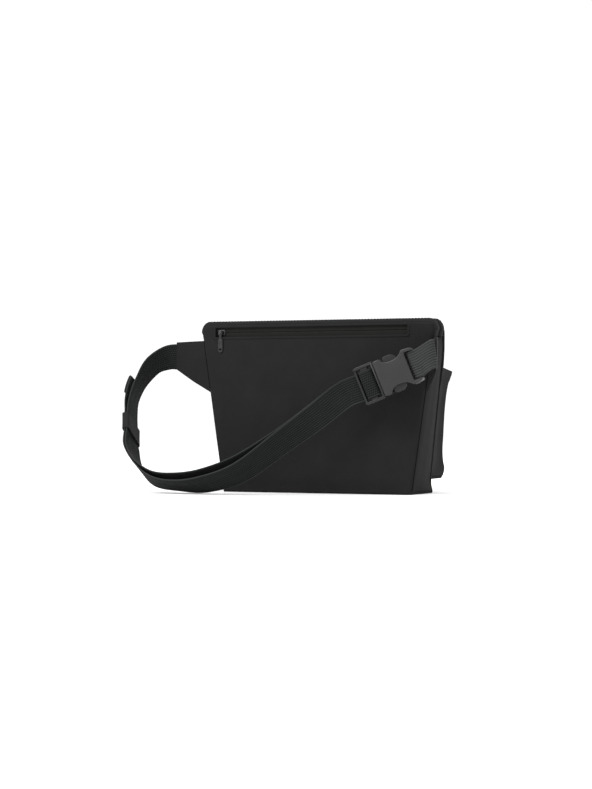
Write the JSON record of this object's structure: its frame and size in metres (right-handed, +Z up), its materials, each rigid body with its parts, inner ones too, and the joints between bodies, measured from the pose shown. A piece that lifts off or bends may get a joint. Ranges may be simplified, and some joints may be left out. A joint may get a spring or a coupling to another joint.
{
  "type": "throw rope bag",
  "caption": "Waist-worn throw rope bag: zipped wedge pouch with an open rope pocket, a rear zip pocket, fabric wings and a webbing belt with a side-release buckle.",
  "frame": {"origin": "middle of the main pouch's flat bottom", "axes": "+Z up, +X along the bag towards the buckle's end, -Y the wearer's side, +Y the rope pocket's side"},
  "size_m": [0.3163, 0.1574, 0.1623],
  "materials": {
    "shell_fabric": "matt foam-backed fabric",
    "gusset_fabric": "matt foam-backed fabric",
    "lining": "thin lining cloth",
    "foam": "closed-cell foam",
    "zip_tape": "fine woven tape",
    "webbing": "ribbed nylon webbing",
    "stub_webbing": "ribbed nylon webbing",
    "plastic": "satin moulded plastic",
    "metal": "dark plated metal",
    "eyelet_metal": "dark plated metal"
  },
  "bodies": {
    "bag": {"back_panel": "shell_fabric", "front_panel": "shell_fabric", "pocket_panel": "shell_fabric", "wing_left": "shell_fabric", "wing_right": "shell_fabric", "bottom_gusset": "gusset_fabric", "side_gusset_left": "gusset_fabric", "side_gusset_right": "gusset_fabric", "zip_gusset_back": "gusset_fabric", "zip_gusset_front": "gusset_fabric", "zip_tab_left": "gusset_fabric", "zip_tab_right": "gusset_fabric", "pocket_side_left": "gusset_fabric", "pocket_side_right": "gusset_fabric", "pocket_floor": "gusset_fabric", "pocket_hem": "gusset_fabric", "rear_pocket_lining": "lining", "float_foam": "foam", "rear_zip_tape_upper": "zip_tape", "rear_zip_tape_lower": "zip_tape", "main_zip_tape_front": "zip_tape", "main_zip_tape_back": "zip_tape", "belt_webbing": "webbing", "belt_tail": "webbing", "rope_anchor_loop": "webbing", "stub_webbing": "stub_webbing", "buckle_female": "plastic", "drain_eyelet_1": "eyelet_metal", "drain_eyelet_2": "eyelet_metal"},
    "rear_slider": {"rear_zip_slider": "metal"},
    "rear_pull": {"rear_zip_pull": "metal"},
    "main_slider": {"main_zip_slider": "metal"},
    "main_pull": {"main_zip_pull": "metal"},
    "male_buckle": {"buckle_male": "plastic", "belt_bar_wrap": "webbing"},
    "upper_prong": {"prong_upper": "plastic"},
    "lower_prong": {"prong_lower": "plastic"},
    "keeper": {"strap_keeper": "gusset_fabric"}
  },
  "joints": [
    {"name": "rear_zip_slide", "type": "slide", "parent": "bag", "child": "rear_slider", "axis": [1, 0, 0], "range_m": [0, 0.183]},
    {"name": "rear_pull_swing", "type": "hinge", "parent": "rear_slider", "child": "rear_pull", "pos_m": [-0.097, -0.0305, 0.1516], "axis": [0, 1, 0], "range_deg": [-80, 80]},
    {"name": "main_zip_slide", "type": "slide", "parent": "bag", "child": "main_slider", "axis": [1, 0, 0], "range_m": [0, 0.178]},
    {"name": "main_pull_swing", "type": "hinge", "parent": "main_slider", "child": "main_pull", "pos_m": [-0.089, -0.0152, 0.1597], "axis": [0, -1, 0], "range_deg": [0, 175]},
    {"name": "buckle_release", "type": "slide", "parent": "bag", "child": "male_buckle", "axis": [-0.9143, -0.1415, -0.3795], "range_m": [0, 0.03], "deforming": ["belt_webbing", "belt_tail"]},
    {"name": "prong_upper_squeeze", "type": "hinge", "parent": "male_buckle", "child": "upper_prong", "pos_m": [0.07372, -0.05973, 0.11559], "axis": [-0.153, 0.9882, 0], "range_deg": [0, 11], "stiffness_Nm_per_rad": 0.3, "deforming": ["prong_upper"]},
    {"name": "prong_lower_squeeze", "type": "hinge", "parent": "male_buckle", "child": "lower_prong", "pos_m": [0.08145, -0.05853, 0.09653], "axis": [-0.153, 0.9882, 0], "range_deg": [-11, 0], "stiffness_Nm_per_rad": 0.3, "deforming": ["prong_lower"]},
    {"name": "keeper_slide", "type": "slide", "parent": "bag", "child": "keeper", "axis": [0.2248, -0.4023, -0.8875], "range_m": [-0.005, 0.005]}
  ],
  "couplings": [
    {"joint": "prong_lower_squeeze", "follows": "prong_upper_squeeze", "ratio": -1}
  ]
}
